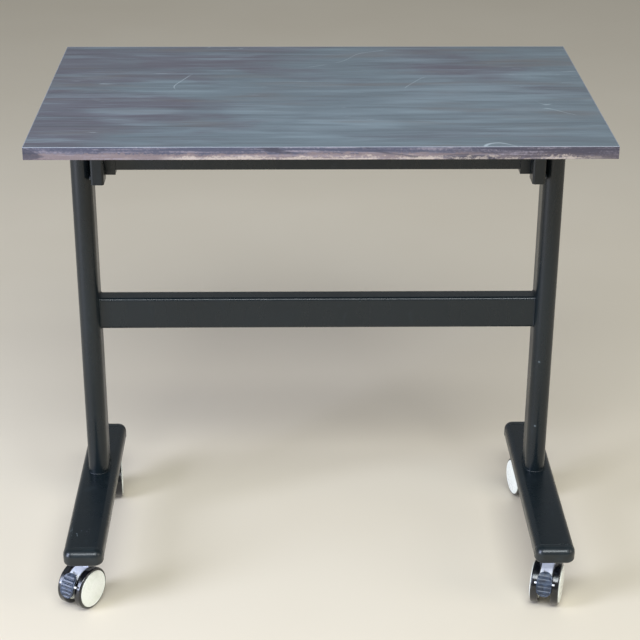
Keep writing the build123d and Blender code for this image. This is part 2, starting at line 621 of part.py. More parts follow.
def make_castor_wheel(name, section, axis, hand, sign):
    """A white hub with a domed disc outside, and a black tyre on it."""
    rise = HUB_OUTER - TYRE_OUTER - HUB_RIM
    dome = (HUB_DISC_RADIUS**2 + rise**2) / (2 * rise)
    half_way = dome - sqrt(dome**2 - HUB_DISC_RADIUS**2 / 4)
    bore = AXLE_RADIUS + RUNNING
    recess = AXLE_HALF + AXLE_END_GAP
    with BuildPart() as hub:
        with BuildSketch(section):
            with BuildLine():
                Polyline(
                    (sign * WHEEL_INNER, bore),
                    (sign * WHEEL_INNER, HUB_CORE_RADIUS),
                    (sign * TYRE_OUTER, HUB_CORE_RADIUS),
                    (sign * TYRE_OUTER, HUB_DISC_RADIUS),
                    (sign * (HUB_OUTER - rise), HUB_DISC_RADIUS),
                )
                ThreePointArc(
                    (sign * (HUB_OUTER - rise), HUB_DISC_RADIUS),
                    (sign * (HUB_OUTER - half_way), HUB_DISC_RADIUS / 2),
                    (sign * HUB_OUTER, 0),
                )
                Polyline(
                    (sign * HUB_OUTER, 0),
                    (sign * recess, 0),
                    (sign * recess, bore),
                    (sign * WHEEL_INNER, bore),
                )
            make_face()
        revolve(axis=axis)
    save(hub, name + "_hub_" + hand)

    inner = sign * (WHEEL_INNER + TYRE_INSET)
    outer = sign * TYRE_OUTER
    shoulder = sign * TYRE_SHOULDER
    with BuildPart() as tyre:
        with BuildSketch(section):
            with BuildLine():
                Line((inner, HUB_CORE_RADIUS), (inner, WHEEL_RADIUS - TYRE_SHOULDER))
                RadiusArc((inner, WHEEL_RADIUS - TYRE_SHOULDER), (inner + shoulder, WHEEL_RADIUS),
                          shoulder)
                Line((inner + shoulder, WHEEL_RADIUS), (outer - shoulder, WHEEL_RADIUS))
                RadiusArc((outer - shoulder, WHEEL_RADIUS), (outer, WHEEL_RADIUS - TYRE_SHOULDER),
                          shoulder)
                Polyline((outer, WHEEL_RADIUS - TYRE_SHOULDER), (outer, HUB_CORE_RADIUS),
                         (inner, HUB_CORE_RADIUS))
            make_face()
        revolve(axis=axis)
    save(tyre, name + "_tyre_" + hand)


def make_castor_pedal(name, side_view):
    """Curved oval pedal in front of the wheels, with a lug and a cross pin in the housing."""
    middle = (PEDAL_LOW + PEDAL_HIGH) / 2
    arc_from = PEDAL_LOW - PEDAL_SPARE
    arc_turn = PEDAL_HIGH - PEDAL_LOW + 2 * PEDAL_SPARE
    reach = (PEDAL_INNER + PEDAL_OUTER) / 2
    span = 2 * reach * sin(radians((PEDAL_HIGH - PEDAL_LOW) / 2))
    outward = side_view.x_dir * cos(radians(middle)) + side_view.y_dir * sin(radians(middle))
    face = Plane(origin=side_view.origin + outward * WHEEL_RADIUS / 2, x_dir=side_view.z_dir,
                 z_dir=outward)
    with BuildPart() as pedal:
        with BuildSketch(side_view):
            with BuildLine():
                outer = CenterArc((0, 0), PEDAL_OUTER, arc_from, arc_turn)
                inner = CenterArc((0, 0), PEDAL_INNER, arc_from, arc_turn)
                Line(outer @ 0, inner @ 0)
                Line(outer @ 1, inner @ 1)
            make_face()
        extrude(amount=PEDAL_WIDTH, both=True)
        with BuildSketch(face, mode=Mode.PRIVATE) as outline:
            SlotOverall(span + PEDAL_OVERRUN, PEDAL_WIDTH, rotation=90)
        extrude(outline.sketch, amount=WHEEL_RADIUS, mode=Mode.INTERSECT)
        root_a = polar(PEDAL_INNER + LUG_ROOT, LUG_FROM)
        root_b = polar(PEDAL_INNER + LUG_ROOT, LUG_TO)
        flank = polar(LUG_RADIUS, PEDAL_PIVOT_ANGLE + 90)
        with BuildSketch(side_view):
            with BuildLine():
                Polyline(
                    (PIVOT_U + flank[0], PIVOT_V + flank[1]),
                    (PIVOT_U - flank[0], PIVOT_V - flank[1]),
                    root_a,
                    root_b,
                    close=True,
                )
            make_face()
            with Locations((PIVOT_U, PIVOT_V)):
                Circle(LUG_RADIUS)
        extrude(amount=LUG_HALF, both=True)
        with BuildSketch(side_view):
            with Locations((PIVOT_U, PIVOT_V)):
                Circle(PEDAL_PIN_RADIUS)
        extrude(amount=HOUSING_HALF - PEDAL_PIN_GAP, both=True)
    save(pedal, name + "_pedal")


def make_castor(name, x, y, heading):
    """All the pieces of one braked twin-wheel castor."""
    side_view, section, axis = castor_planes(x, y, heading)
    make_castor_stem(name, x, y)
    make_castor_housing(name, x, y, side_view)
    make_castor_axle(name, side_view)
    make_castor_pedal(name, side_view)
    make_castor_wheel(name, section, axis, "a", 1)
    make_castor_wheel(name, section, axis, "b", -1)


# ---- the whole desk --------------------------------------------------------------------
make_desktop()
make_bearer_screws()
make_base_bolts()
make_crossbar()
make_upper_rail()
make_rail_saddles()
make_bosses()
make_bracket_bolts()
for side_name, side_sign in SIDES:
    make_inner_tube(side_name, side_sign)
    make_bearer(side_name, side_sign)
    make_column(side_name, side_sign)
    make_liner(side_name, side_sign)
    make_foot(side_name, side_sign)
    make_bracket(side_name, side_sign)
    make_clamp_screw(side_name, side_sign)
    make_foot_cap("foot_cap_front_" + side_name, side_sign * COLUMN_X, FOOT_FRONT_Y, -1)
    make_foot_cap("foot_cap_rear_" + side_name, side_sign * COLUMN_X, FOOT_REAR_Y, 1)
for castor_name, castor_x, castor_y, castor_heading in CASTORS:
    make_castor(castor_name, castor_x, castor_y, castor_heading)
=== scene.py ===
import json
from math import cos, pi, radians, sin, sqrt

import bpy
from mathutils import Matrix, Vector


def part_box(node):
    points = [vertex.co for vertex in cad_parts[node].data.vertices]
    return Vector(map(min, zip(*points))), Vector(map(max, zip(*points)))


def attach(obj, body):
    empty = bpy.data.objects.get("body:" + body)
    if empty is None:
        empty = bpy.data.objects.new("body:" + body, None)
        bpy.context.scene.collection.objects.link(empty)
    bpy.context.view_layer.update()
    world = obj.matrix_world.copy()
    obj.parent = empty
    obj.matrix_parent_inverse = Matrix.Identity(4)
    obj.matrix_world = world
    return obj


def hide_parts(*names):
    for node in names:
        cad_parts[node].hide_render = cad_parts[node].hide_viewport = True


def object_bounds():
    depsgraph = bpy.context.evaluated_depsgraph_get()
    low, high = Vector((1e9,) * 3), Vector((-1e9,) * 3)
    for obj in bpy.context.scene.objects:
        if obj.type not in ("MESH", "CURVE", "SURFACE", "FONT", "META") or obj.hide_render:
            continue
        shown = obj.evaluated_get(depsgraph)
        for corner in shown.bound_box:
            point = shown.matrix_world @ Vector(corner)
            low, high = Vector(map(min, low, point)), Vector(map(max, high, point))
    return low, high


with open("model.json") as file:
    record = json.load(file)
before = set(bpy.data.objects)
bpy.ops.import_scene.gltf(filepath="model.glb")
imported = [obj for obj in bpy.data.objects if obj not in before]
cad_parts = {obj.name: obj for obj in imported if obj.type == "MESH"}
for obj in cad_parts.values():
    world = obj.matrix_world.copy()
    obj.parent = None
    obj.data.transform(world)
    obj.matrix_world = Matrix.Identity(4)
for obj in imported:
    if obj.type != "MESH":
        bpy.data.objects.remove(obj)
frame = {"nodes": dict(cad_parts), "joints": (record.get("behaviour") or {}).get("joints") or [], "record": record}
CAD_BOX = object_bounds()
MM = 0.001
DESK_TOP = CAD_BOX[1].z
SIDES = ("left", "right")
JOINTS = {joint["name"]: joint for joint in frame["joints"]}
CASTORS = ("castor_front_left", "castor_front_right", "castor_rear_left", "castor_rear_right")

# ---- camera and stage -------------------------------------------------------------------
CAMERA_PLACE = (-0.0432, -2.3486, 1.4681)
CAMERA_YAW = -1.139      # degrees, positive turns to the left
CAMERA_DOWN = 24.76
CAMERA_ROLL = 0.261
CAMERA_LENS = 92.74      # mm on a 36 mm sensor


def make_camera():
    """The camera stands in front of the desk, a little left of its middle, and looks down."""
    yaw, down, roll = radians(CAMERA_YAW), radians(CAMERA_DOWN), radians(CAMERA_ROLL)
    forward = Vector((-sin(yaw) * cos(down), cos(yaw) * cos(down), -sin(down)))
    right = Vector((cos(yaw), sin(yaw), 0))
    up = right.cross(forward)
    rolled_right = right * cos(roll) + up * sin(roll)
    rolled_up = up * cos(roll) - right * sin(roll)
    data = bpy.data.cameras.new("camera")
    data.lens = CAMERA_LENS
    data.sensor_width = 36.0
    camera = bpy.data.objects.new("camera", data)
    bpy.context.scene.collection.objects.link(camera)
    rotation = Matrix((rolled_right, rolled_up, -forward)).transposed()
    camera.matrix_world = Matrix.Translation(CAMERA_PLACE) @ rotation.to_4x4()
    bpy.context.scene.camera = camera


def make_softbox(name, place, target, size, power, colour):
    """A rectangular area light at place that faces target."""
    data = bpy.data.lights.new(name, "AREA")
    data.shape = "RECTANGLE"
    data.size, data.size_y = size
    data.energy = power
    data.color = colour
    light = bpy.data.objects.new(name, data)
    bpy.context.scene.collection.objects.link(light)
    aim = (Vector(target) - Vector(place)).to_track_quat("-Z", "Y")
    light.matrix_world = Matrix.Translation(place) @ aim.to_matrix().to_4x4()


def make_lights():
    """Soft studio light: a long box above the camera, one at the left, and a pale sky."""
    make_softbox("top_front", (0.2, -2.6, 3.0), (0, 0, 0.3), (2.6, 1.0), 96, (0.92, 0.97, 1.0))
    make_softbox("strip", (0.2, -1.85, 3.35), (0, 0, 0.4), (3.0, 0.30), 22, (0.86, 0.97, 1.0))
    make_softbox("left_window", (-2.6, -1.5, 1.4), (0, 0, 0.5), (1.1, 2.4), 112, (0.70, 0.77, 1.0))
    make_softbox("right_fill", (2.8, -1.2, 1.4), (0, 0, 0.4), (1.2, 1.6), 16, (1.0, 0.93, 0.84))
    world = bpy.data.worlds.new("sky")
    world.use_nodes = True
    background = world.node_tree.nodes["Background"]
    background.inputs["Color"].default_value = (0.84, 0.87, 0.88, 1)
    background.inputs["Strength"].default_value = 0.36
    scene = bpy.context.scene
    scene.world = world
    scene.view_settings.view_transform = "Standard"


# ---- finishes ---------------------------------------------------------------------------
def srgb(code):
    """A linear colour from a code such as 6b7480."""
    channels = [int(code[i:i + 2], 16) / 255 for i in (0, 2, 4)]
    linear = [c / 12.92 if c <= 0.04045 else ((c + 0.055) / 1.055) ** 2.4 for c in channels]
    return (*linear, 1.0)


NOISE_ROUGHNESS = 0.55


class Finish:
    """A procedural material under construction, with short calls for the nodes it needs."""

    def __init__(self, name, roughness=0.5, metallic=0.0, specular=0.5, coat=0.0):
        self.material = bpy.data.materials.new(name)
        self.material.use_nodes = True
        self.tree = self.material.node_tree
        self.shader = self.tree.nodes["Principled BSDF"]
        self.shader.inputs["Roughness"].default_value = roughness
        self.shader.inputs["Metallic"].default_value = metallic
        self.shader.inputs["Specular IOR Level"].default_value = specular
        self.shader.inputs["Coat Weight"].default_value = coat
        self.place = self.add("ShaderNodeTexCoord").outputs["Object"]
        self.height = None

    def add(self, kind, **settings):
        node = self.tree.nodes.new(kind)
        for key, value in settings.items():
            setattr(node, key, value)
        return node

    def feed(self, socket, value):
        """Puts a number, a colour or another node's output into a socket."""
        if isinstance(value, bpy.types.NodeSocket):
            self.tree.links.new(value, socket)
        else:
            socket.default_value = value

    def noise(self, scale, detail=3.0, stretch=(1, 1, 1), distortion=0.0, shift=0.0):
        """Noise between 0 and 1; scale is in repeats per metre, stretched per axis."""
        mapping = self.add("ShaderNodeMapping")
        self.feed(mapping.inputs["Vector"], self.place)
        mapping.inputs["Scale"].default_value = [scale * s for s in stretch]
        mapping.inputs["Location"].default_value = (shift, shift * 1.7, shift * 2.3)
        texture = self.add("ShaderNodeTexNoise")
        self.feed(texture.inputs["Vector"], mapping.outputs["Vector"])
        texture.inputs["Scale"].default_value = 1.0
        texture.inputs["Detail"].default_value = detail
        texture.inputs["Roughness"].default_value = NOISE_ROUGHNESS
        texture.inputs["Distortion"].default_value = distortion
        return texture.outputs["Fac"]

    def span(self, value, low, high, to_low=0.0, to_high=1.0):
        """Maps low..high smoothly to to_low..to_high and holds the ends."""
        node = self.add("ShaderNodeMapRange", interpolation_type="SMOOTHSTEP")
        self.feed(node.inputs["Value"], value)
        node.inputs["From Min"].default_value = low
        node.inputs["From Max"].default_value = high
        node.inputs["To Min"].default_value = to_low
        node.inputs["To Max"].default_value = to_high
        return node.outputs["Result"]

    def math(self, operation, a, b=0.0):
        node = self.add("ShaderNodeMath", operation=operation)
        self.feed(node.inputs[0], a)
        self.feed(node.inputs[1], b)
        return node.outputs["Value"]

    def axis(self, name):
        """One coordinate, X, Y or Z, in metres."""
        node = self.add("ShaderNodeSeparateXYZ")
        self.feed(node.inputs["Vector"], self.place)
        return node.outputs[name]

    def near(self, point, radius):
        """1 at a point, falling to 0 at this distance from it."""
        node = self.add("ShaderNodeVectorMath", operation="DISTANCE")
        self.feed(node.inputs[0], self.place)
        node.inputs[1].default_value = point
        return self.span(node.outputs["Value"], radius * 0.4, radius, 1.0, 0.0)

    def mix(self, factor, first, second):
        node = self.add("ShaderNodeMix", data_type="RGBA")
        self.feed(node.inputs["Factor"], factor)
        first_colour, second_colour = node.inputs[6], node.inputs[7]
        self.feed(first_colour, first)
        self.feed(second_colour, second)
        return node.outputs[2]

    def bump(self, height, distance, strength=1.0):
        """Adds a bump layer; height is 0 to 1 and distance its depth in metres."""
        node = self.add("ShaderNodeBump")
        node.inputs["Strength"].default_value = strength
        node.inputs["Distance"].default_value = distance
        self.feed(node.inputs["Height"], height)
        if self.height is not None:
            self.feed(node.inputs["Normal"], self.height)
        self.height = node.outputs["Normal"]

    def done(self, colour, roughness=None):
        self.feed(self.shader.inputs["Base Color"], colour)
        if roughness is not None:
            self.feed(self.shader.inputs["Roughness"], roughness)
        if self.height is not None:
            self.feed(self.shader.inputs["Normal"], self.height)
        return self.material


def laminate_finish():
    """Slate-look laminate: blue-grey with purple-brown clouds, streaks from wiping, scratches, and patches of
    painted sheen.
    """
    f = Finish("laminate", specular=0.5)
    clouds = f.noise(4.0, 5, stretch=(0.8, 1.6, 1), distortion=0.6)
    leftward = f.span(f.axis("X"), -0.40, 0.05, 0.16, -0.05)
    back_right = f.near((0.24, 0.22, DESK_TOP), 0.20)
    bias = f.math("ADD", leftward, f.math("MULTIPLY", back_right, 0.12))
    cloudy = f.span(f.math("ADD", clouds, bias), 0.44, 0.68)
    colour = f.mix(cloudy, srgb("5f6b73"), srgb("55525d"))
    wiped_and_sheen = f.noise(9.0, 6, stretch=(0.55, 4.5, 1), distortion=0.3, shift=3.0)
    # Painted sheen: lighter patches at fixed spots, in the middle and at the right of the top, stand in for the
    # sheen of the light on it.
    painted_sheen = f.near((0.23, 0.0, DESK_TOP), 0.17)
    for spot, size in (((-0.27, -0.10), 0.09), ((-0.08, -0.10), 0.08), ((0.03, -0.17), 0.11)):
        painted_sheen = f.math("MAXIMUM", painted_sheen, f.near((*spot, DESK_TOP), size))
    wiped_and_sheen = f.math("ADD", wiped_and_sheen, f.math("MULTIPLY", painted_sheen, 0.10))
    # Lighter tone where the streaks run, and painted sheen where the patches are.
    colour = f.mix(f.span(wiped_and_sheen, 0.46, 0.74, 0.0, 0.58), colour, srgb("818f97"))
    dark = f.noise(7.0, 6, stretch=(0.5, 7.0, 1), distortion=0.4, shift=8.0)
    colour = f.mix(f.span(dark, 0.46, 0.72, 0.0, 0.42), colour, srgb("474c53"))
    rust = f.noise(6.0, 5, stretch=(0.7, 4.2, 1), shift=11.0)
    colour = f.mix(f.span(rust, 0.50, 0.72, 0.0, 0.50), colour, srgb("655c59"))
    fine = f.noise(16.0, 5, stretch=(0.6, 16.0, 1), shift=5.0)
    colour = f.mix(f.span(fine, 0.40, 0.75, 0.0, 0.28), colour, srgb("88969e"))
    dashes = f.span(f.noise(30.0, 2, stretch=(0.7, 11.0, 1), distortion=0.5, shift=2.0), 0.69, 0.75)
    field = f.span(f.noise(6.0, 2, shift=6.0), 0.50, 0.62)
    dashes = f.math("MULTIPLY", dashes, field)
    contour = f.math("ABSOLUTE", f.math("SUBTRACT", f.noise(5.0, 1, shift=9.0), 0.5))
    arcs = f.math("MULTIPLY", f.span(contour, 0.0008, 0.0024, 1.0, 0.0),
                  f.span(f.noise(11.0, 2, shift=14.0), 0.54, 0.62))
    marks = f.math("MAXIMUM", dashes, arcs)
    colour = f.mix(f.math("MULTIPLY", marks, 0.60), colour, srgb("b3bfc5"))
    roughness = f.span(f.math("ADD", wiped_and_sheen, f.math("MULTIPLY", fine, 0.5)), 0.5, 1.0, 0.32, 0.50)
    f.bump(f.noise(900.0, 3), 0.00003, 0.5)
    f.bump(fine, 0.00008, 0.5)
    f.bump(marks, -0.00005, 0.6)
    return f.done(colour, roughness)


def edge_finish():
    """Mottled banding: purple-grey above, pinkish brown below, cream at the bottom arris, and a painted highlight
    along the top arris.
    """
    low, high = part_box("edge_banding")
    f = Finish("edge", specular=0.5)
    up = f.span(f.axis("Z"), low.z, high.z)
    drift = f.noise(34.0, 6, stretch=(0.7, 0.7, 4.0), distortion=0.5)
    grain = f.noise(260.0, 4, stretch=(1, 1, 1.4), distortion=0.6, shift=9.0)
    level = f.math("ADD", up, f.math("MULTIPLY", f.math("SUBTRACT", drift, 0.5), 1.1))
    level = f.math("ADD", level, f.math("MULTIPLY", f.math("SUBTRACT", grain, 0.5), 0.9))
    colour = f.mix(f.span(level, 0.30, 0.62), srgb("74686a"), srgb("464858"))
    purple = f.span(f.axis("X"), 0.12, 0.30, 0.0, 0.85)
    colour = f.mix(purple, colour, srgb("3c3843"))
    smear = f.noise(30.0, 6, stretch=(0.35, 0.35, 12.0), shift=4.0)
    smear = f.math("ADD", smear, f.math("MULTIPLY", f.math("SUBTRACT", grain, 0.5), 0.5))
    colour = f.mix(f.span(smear, 0.46, 0.74, 0.0, 0.7), colour, srgb("8d858e"))
    smudge = f.noise(14.0, 5, stretch=(0.8, 0.8, 4.0), distortion=0.9, shift=7.0)
    colour = f.mix(f.span(smudge, 0.54, 0.66, 0.0, 0.8), colour, srgb("353542"))
    middle = f.span(f.math("ABSOLUTE", f.axis("X")), 0.12, 0.30, 0.22, 0.0)
    cream = f.math("MULTIPLY", f.span(level, -0.05, 0.24, 1.0, 0.0),
                   f.span(f.math("ADD", f.noise(7.0, 4, shift=12.0), middle), 0.50, 0.68))
    colour = f.mix(f.math("MULTIPLY", cream, 0.60), colour, srgb("c4b6aa"))
    # Painted highlight: the top millimetre of the band is lightened to stand in for light caught on the top arris.
    arris = f.span(f.axis("Z"), high.z - 0.0011, high.z - 0.0004, 0.0, 0.55)
    colour = f.mix(arris, colour, srgb("aab1bb"))
    f.bump(f.noise(700.0, 3), 0.00004, 0.5)
    f.bump(smear, 0.0001, 0.4)
    return f.done(colour, f.span(smear, 0.3, 0.8, 0.36, 0.55))


def board_finish():
    """Grey backing sheet on the underside of the board, with pressed fibres showing through."""
    f = Finish("board", specular=0.3)
    chips = f.noise(220.0, 5, stretch=(1, 0.5, 1), distortion=1.2)
    colour = f.mix(f.span(chips, 0.35, 0.65), srgb("4b4a4b"), srgb("6a6765"))
    colour = f.mix(f.span(f.noise(9.0, 4), 0.4, 0.7, 0.0, 0.4), colour, srgb("57534f"))
    f.bump(chips, 0.0001, 0.5)
    return f.done(colour, f.span(chips, 0.3, 0.7, 0.55, 0.75))


def paint_finish():
    """Satin black powder coat with a teal cast, fine orange peel, rubs and a few chips."""
    f = Finish("frame_paint", specular=0.42)
    drift = f.noise(6.0, 4)
    colour = f.mix(drift, srgb("091115"), srgb("111b20"))
    rubs = f.noise(38.0, 6, stretch=(1, 1, 0.35), distortion=0.5, shift=3.0)
    colour = f.mix(f.span(rubs, 0.60, 0.80, 0.0, 0.35), colour, srgb("2c363c"))
    speck = f.span(f.noise(420.0, 2, shift=5.0), 0.76, 0.80)
    field = f.span(f.noise(9.0, 2, shift=8.0), 0.60, 0.70)
    marks = f.math("MULTIPLY", speck, field)
    foot_low, foot_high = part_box("foot_left")
    scuffed = f.near((foot_low.x + 0.017, foot_low.y + 0.045, foot_high.z), 0.022)
    scuff = f.span(f.noise(260.0, 2, stretch=(1, 0.45, 1), distortion=1.0, shift=1.0), 0.66, 0.72)
    marks = f.math("MAXIMUM", marks, f.math("MULTIPLY", scuffed, scuff))
    column_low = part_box("column_right")[0]
    for height in (0.085, 0.20):
        spot = (column_low.x + 0.011, column_low.y + 0.003, column_low.z + height)
        marks = f.math("MAXIMUM", marks, f.near(spot, 0.0032))
    colour = f.mix(f.math("MULTIPLY", marks, 0.65), colour, srgb("87949a"))
    f.bump(f.noise(1400.0, 2), 0.00001, 0.45)
    f.bump(f.noise(260.0, 3, shift=2.0), 0.00001, 0.35)
    f.bump(marks, -0.00006, 0.6)
    roughness = f.math("ADD", f.span(rubs, 0.35, 0.8, 0.26, 0.38), f.math("MULTIPLY", marks, 0.2))
    return f.done(colour, roughness)


def inner_tube_finish():
    """The same paint with long vertical draw marks from the glide bush."""
    f = Finish("inner_tube", specular=0.5)
    streaks = f.noise(300.0, 4, stretch=(1, 1, 0.01))
    colour = f.mix(f.span(streaks, 0.45, 0.75), srgb("16191b"), srgb("363c40"))
    grease = f.noise(14.0, 4, stretch=(1, 1, 0.5), shift=4.0)
    colour = f.mix(f.span(grease, 0.55, 0.75, 0.0, 0.5), colour, srgb("0d0e0e"))
    f.bump(streaks, 0.00006, 0.5)
    return f.done(colour, f.span(grease, 0.4, 0.75, 0.38, 0.22))


def cap_finish():
    """Smooth satin moulding with a faint spark-eroded grain and light rubbing."""
    f = Finish("cap_plastic", specular=0.5, coat=0.15)
    rub = f.noise(60.0, 5, stretch=(0.5, 1, 1), distortion=0.7)
    colour = f.mix(f.span(rub, 0.45, 0.8), srgb("0b1519"), srgb("18262c"))
    f.bump(f.noise(1800.0, 2), 0.000008, 0.35)
    return f.done(colour, f.span(rub, 0.4, 0.75, 0.32, 0.42))


def liner_finish():
    """Black glide plastic, a little shiny where the tube rubs."""
    f = Finish("liner_plastic", specular=0.45)
    streaks = f.noise(260.0, 3, stretch=(1, 1, 0.05))
    colour = f.mix(streaks, srgb("0e0f10"), srgb("26282a"))
    f.bump(streaks, 0.00005, 0.4)
    return f.done(colour, f.span(streaks, 0.3, 0.7, 0.3, 0.5))


def fastener_finish():
    """Blackened steel with bright rubs, the bright colour raised to paint a highlight on the bolt heads."""
    f = Finish("fastener", metallic=0.9)
    rub = f.noise(420.0, 4, distortion=0.8)
    # Painted highlight: the bright colour is raised so bolt heads in shade still read as lit spots.
    colour = f.mix(f.span(rub, 0.50, 0.75), srgb("3a3d42"), srgb("92959b"))
    f.bump(rub, 0.00004, 0.5)
    return f.done(colour, f.span(rub, 0.3, 0.75, 0.28, 0.48))


def steel_finish():
    """Bright zinc plating with turned lines and a faint bloom."""
    f = Finish("stem_steel", metallic=1.0)
    turned = f.noise(900.0, 3, stretch=(0.2, 0.2, 3.0))
    bloom = f.noise(120.0, 4, shift=3.0)
    colour = f.mix(f.span(bloom, 0.35, 0.7), srgb("6b6e78"), srgb("4c4e57"))
    f.bump(turned, 0.00003, 0.5)
    return f.done(colour, f.span(turned, 0.3, 0.7, 0.20, 0.34))


def castor_body_finish():
    """Silver-white gloss moulding, greyer with dust low down."""
    f = Finish("castor_body", coat=0.35)
    flow = f.noise(110.0, 5, stretch=(1, 1, 0.4), distortion=0.8)
    colour = f.mix(f.span(flow, 0.35, 0.7), srgb("f6f8fc"), srgb("e4e8f1"))
    dust = f.math("MULTIPLY", f.span(f.axis("Z"), 0.012, 0.045, 1.0, 0.0), f.span(flow, 0.3, 0.6))
    colour = f.mix(f.math("MULTIPLY", dust, 0.5), colour, srgb("8e8a80"))
    f.bump(f.noise(1500.0, 2), 0.00002, 0.3)
    return f.done(colour, f.span(flow, 0.3, 0.75, 0.22, 0.36))


def hub_finish():
    """White moulded disc with a green-cream cast, faint swirls and grazes."""
    f = Finish("hub", specular=0.5, coat=0.2)
    swirl = f.noise(70.0, 4, distortion=1.4)
    colour = f.mix(f.span(swirl, 0.35, 0.7), srgb("fafcf4"), srgb("edf1e6"))
    graze = f.span(f.noise(420.0, 2, stretch=(1, 1, 0.2), distortion=0.6, shift=4.0), 0.70, 0.76)
    colour = f.mix(f.math("MULTIPLY", graze, 0.35), colour, srgb("b7b6a8"))
    f.bump(f.noise(1200.0, 2), 0.00002, 0.3)
    f.bump(graze, -0.00003, 0.4)
    return f.done(colour, f.span(swirl, 0.3, 0.7, 0.24, 0.38))


def tyre_finish():
    """Glossy black polyurethane with scuffs and floor dust on the tread."""
    f = Finish("tyre", specular=0.6, coat=0.25)
    scuff = f.noise(150.0, 5, distortion=1.0)
    colour = f.mix(f.span(scuff, 0.45, 0.8), srgb("0b0c0f"), srgb("25282e"))
    dust = f.span(f.noise(330.0, 4, shift=6.0), 0.60, 0.80, 0.0, 0.35)
    colour = f.mix(dust, colour, srgb("5b554d"))
    f.bump(f.noise(700.0, 3, shift=2.0), 0.00002, 0.35)
    return f.done(colour, f.span(scuff, 0.35, 0.8, 0.15, 0.26))


def pedal_finish():
    """Blue-grey moulding, paler where shoes have rubbed it."""
    f = Finish("pedal", specular=0.5, coat=0.15)
    rub = f.noise(130.0, 5, distortion=0.6)
    colour = f.mix(f.span(rub, 0.35, 0.75), srgb("1f2836"), srgb("3c495d"))
    f.bump(f.noise(1300.0, 2), 0.00004, 0.4)
    return f.done(colour, f.span(rub, 0.3, 0.75, 0.26, 0.40))


def floor_finish():
    """Plain pale floor with the faintest drift in tone."""
    f = Finish("floor", specular=0.25)
    drift = f.noise(1.3, 3)
    colour = f.mix(drift, srgb("d9cdb8"), srgb("e2d8c6"))
    return f.done(colour, f.span(drift, 0.3, 0.7, 0.55, 0.65))


def make_floor():
    """A large flat floor under the desk."""
    half = 9.0
    mesh = bpy.data.meshes.new("floor")
    corners = [(-half, -half, 0), (half, -half, 0), (half, half, 0), (-half, half, 0)]
    mesh.from_pydata(corners, [], [(0, 1, 2, 3)])
    floor = bpy.data.objects.new("floor", mesh)
    bpy.context.scene.collection.objects.link(floor)
    mesh.materials.append(floor_finish())


FINISHES = {
    "laminate": laminate_finish(),
    "edge": edge_finish(),
    "board": board_finish(),
    "frame_paint": paint_finish(),
    "inner_tube": inner_tube_finish(),
    "cap_plastic": cap_finish(),
    "liner_plastic": liner_finish(),
    "fastener": fastener_finish(),
    "stem_steel": steel_finish(),
    "castor_body": castor_body_finish(),
    "hub": hub_finish(),
    "tyre": tyre_finish(),
    "pedal": pedal_finish(),
}


# ---- pieces made here --------------------------------------------------------------------
def new_piece(name, points, faces, body, slot):
    """A smooth mesh piece that rides on a body and wears a slot's finish."""
    mesh = bpy.data.meshes.new(name)
    mesh.from_pydata([tuple(point) for point in points], [], faces)
    mesh.polygons.foreach_set("use_smooth", [True] * len(mesh.polygons))
    mesh.update()
    piece = bpy.data.objects.new(name, mesh)
    bpy.context.scene.collection.objects.link(piece)
    mesh.materials.append(FINISHES[slot])
    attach(piece, body)
    return piece


def closed_grid(rows, ends=True):
    """Points and quads of a tube through rings of equal length; ends closes both of them."""
    count = len(rows[0])
    points = [point for row in rows for point in row]
    faces = []
    for i in range(len(rows) - 1):
        for j in range(count):
            k = (j + 1) % count
            faces.append((i * count + j, i * count + k, (i + 1) * count + k, (i + 1) * count + j))
    if ends:
        last = (len(rows) - 1) * count
        faces.append(tuple(reversed(range(count))))
        faces.append(tuple(range(last, last + count)))
    return points, faces


def ring(centre, first, second, radius, count=16):
    """Points of a circle in the plane of two unit vectors."""
    turns = [2 * pi * i / count for i in range(count)]
    return [centre + first * (radius * cos(t)) + second * (radius * sin(t)) for t in turns]


class CastorFrame:
    """A castor's own frame: forward, up and along the axle, from the middle of its wheels."""

    def __init__(self, name):
        joint = JOINTS[name + "_wheel_a_spin"]
        self.name = name
        self.centre = Vector(joint["pos_m"])
        self.axle = Vector(joint["axis"]).normalized()
        self.up = Vector((0, 0, 1))
        self.forward = self.up.cross(self.axle)

    def at(self, u, v, w):
        """The point this many millimetres forward, up and along the axle."""
        return self.centre + (self.forward * u + self.up * v + self.axle * w) * MM

    def polar(self, radius, angle, w):
        return self.at(radius * cos(radians(angle)), radius * sin(radians(angle)), w)


PEDAL_LOW, PEDAL_HIGH = -4.5, 57.0     # angles of the pedal's ends, degrees from forward
PEDAL_INNER, PEDAL_OUTER = 34.6, 38.55
PEDAL_HALF = 11.65
PEDAL_GROOVES = 6
PEDAL_STEPS, PEDAL_COLUMNS = 120, 22
PEDAL_END_DROP = 0.9                   # how far the skin turns down at both ends
PEDAL_TIP = 0.04                       # keeps the ends of the oval from closing to a point
RIM_FROM, RIM_RISE = 0.80, 0.08        # the rim, as a share of the half width
GROOVE_TOP, GROOVE_DEPTH = 0.35, 1.15
PLAIN_FROM, PLAIN_DROP = 0.84, 0.15    # the smooth pad above the grooves
LUG_RADIUS, LUG_TURN, LUG_HALF = 3.4, 145.0, 4.0
LUG_ROOT, LUG_FROM, LUG_TO = 35.4, 43.0, 53.0
PIN_RADIUS, PIN_HALF = 1.5, 8.6
BAR_RADIUS, BAR_HALF = 1.5, 15.5
BAR_REACH, BAR_ANGLE = 36.0, 28.0


def pedal_top(along, across):
    """Radius of the pedal's outer skin: a raised rim with level grooves inside it."""
    run = (along - 0.5) * 2
    border = max(abs(across), abs(run) ** 6)
    rim = min(1.0, max(0.0, (border - RIM_FROM) / RIM_RISE))
    wave = 0.5 - 0.5 * cos(2 * pi * PEDAL_GROOVES * along)
    ribs = PEDAL_OUTER - GROOVE_TOP - GROOVE_DEPTH * wave ** 3
    if along > PLAIN_FROM:
        ribs = PEDAL_OUTER - PLAIN_DROP
    return ribs + (PEDAL_OUTER - ribs) * rim


